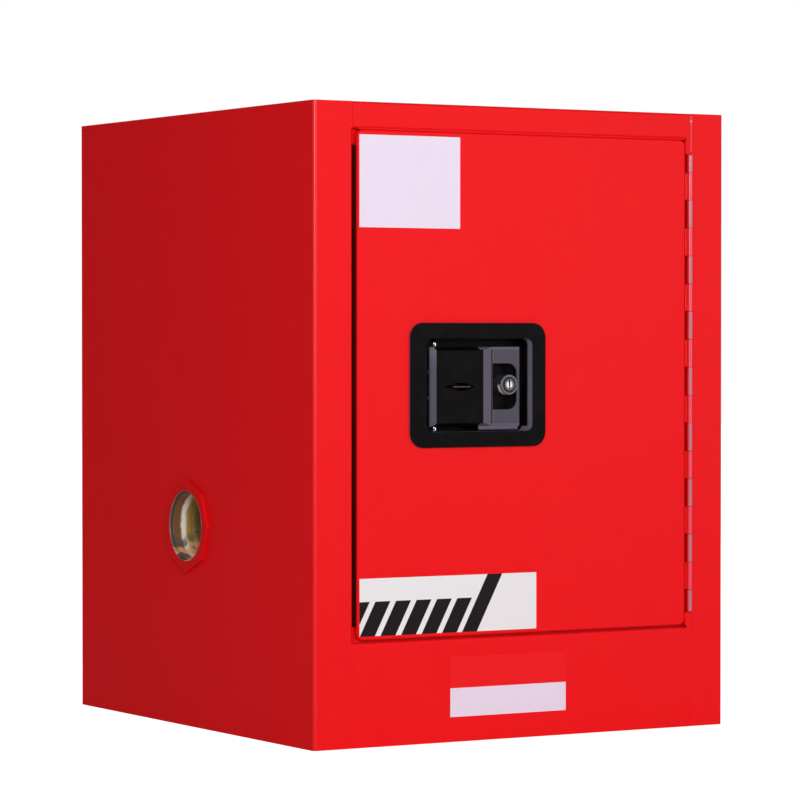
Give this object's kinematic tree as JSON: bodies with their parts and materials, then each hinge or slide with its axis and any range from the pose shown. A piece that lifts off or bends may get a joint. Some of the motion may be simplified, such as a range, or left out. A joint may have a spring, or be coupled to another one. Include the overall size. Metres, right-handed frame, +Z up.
{
  "type": "chemical safety cabinet",
  "caption": "Small red double-walled safety cabinet with a hinged door, recessed paddle latch, leak-tight sill, screened vent ports in the sides and a lift-out shelf.",
  "frame": {"origin": "On the floor, under the middle of the body's width and depth", "axes": "+X to the cabinet's own right as seen from the front, +Y from the front to the back, +Z up"},
  "size_m": [0.441, 0.4642, 0.56],
  "materials": {
    "red_paint": "semi-gloss red powder coat on sheet steel",
    "black_coat": "satin black powder coat",
    "zinc_plate": "bright zinc plate",
    "galvanised_steel": "galvanised",
    "spring_steel": "drawn spring wire",
    "nickel_plate": "nickel plated",
    "chrome": "polished chrome plate",
    "brass": "plain brass",
    "white_vinyl": "satin vinyl sheet"
  },
  "bodies": {
    "cabinet": {"left_side_panel": "red_paint", "right_side_panel": "red_paint", "top_panel": "red_paint", "back_panel": "red_paint", "bottom_panel": "red_paint", "front_sill": "red_paint", "head_rail": "red_paint", "sill_rail": "red_paint", "sump_pan": "red_paint", "liner_left": "red_paint", "liner_right": "red_paint", "liner_top": "red_paint", "liner_back": "red_paint", "floor_supports": "galvanised_steel", "back_spacers": "galvanised_steel", "strike_plate": "zinc_plate", "strike_screws": "zinc_plate", "hinge_frame_leaf": "red_paint", "hinge_pin": "zinc_plate", "vent_flange_left": "red_paint", "vent_flange_right": "red_paint", "vent_collar_left": "nickel_plate", "vent_collar_right": "nickel_plate", "flame_screens_left": "brass", "flame_screens_right": "brass", "vent_locknut_left": "zinc_plate", "vent_locknut_right": "zinc_plate", "ground_stud": "brass", "ground_nut": "brass", "shelf_uprights": "galvanised_steel", "shelf_clips": "zinc_plate", "sill_decal": "white_vinyl"},
    "shelf": {"shelf_tray": "galvanised_steel"},
    "door": {"door_skin": "red_paint", "door_liner": "red_paint", "hinge_door_leaf": "red_paint", "upper_decal": "white_vinyl", "lower_decal": "white_vinyl", "latch_pan": "black_coat", "latch_nuts": "zinc_plate", "latch_cover": "red_paint", "cover_screws": "zinc_plate", "paddle_pin": "chrome", "padlock_staple": "zinc_plate", "lock_barrel": "chrome", "lock_nut": "zinc_plate", "bolt_guide": "zinc_plate", "spring_stop": "zinc_plate", "bolt_spring": "spring_steel"},
    "paddle": {"paddle": "black_coat"},
    "bolt": {"latch_bolt": "zinc_plate"},
    "key": {"key_plug": "chrome", "lock_cam": "zinc_plate", "cam_screw": "zinc_plate"}
  },
  "joints": [
    {"name": "door_swing", "type": "hinge", "parent": "cabinet", "child": "door", "pos_m": [0.1774, -0.2315, 0], "axis": [0, 0, 1], "range_deg": [0, 175]},
    {"name": "paddle_pull", "type": "hinge", "parent": "door", "child": "paddle", "pos_m": [-0.0891, -0.2215, 0.314], "axis": [0, 0, -1], "range_deg": [0, 38], "stiffness_Nm_per_rad": 0.3, "springref_deg": -22.92},
    {"name": "bolt_slide", "type": "slide", "parent": "door", "child": "bolt", "axis": [1, 0, 0], "range_m": [0, 0.0126], "deforming": ["bolt_spring"]},
    {"name": "key_turn", "type": "hinge", "parent": "door", "child": "key", "pos_m": [-0.0144, -0.2, 0.314], "axis": [0, -1, 0], "range_deg": [0, 90]},
    {"name": "shelf_lift", "type": "slide", "parent": "cabinet", "child": "shelf", "axis": [0, 0, 1], "range_m": [0, 0.06]}
  ],
  "couplings": [
    {"joint": "bolt_slide", "follows": "paddle_pull", "m_per_rad": 0.0189}
  ]
}
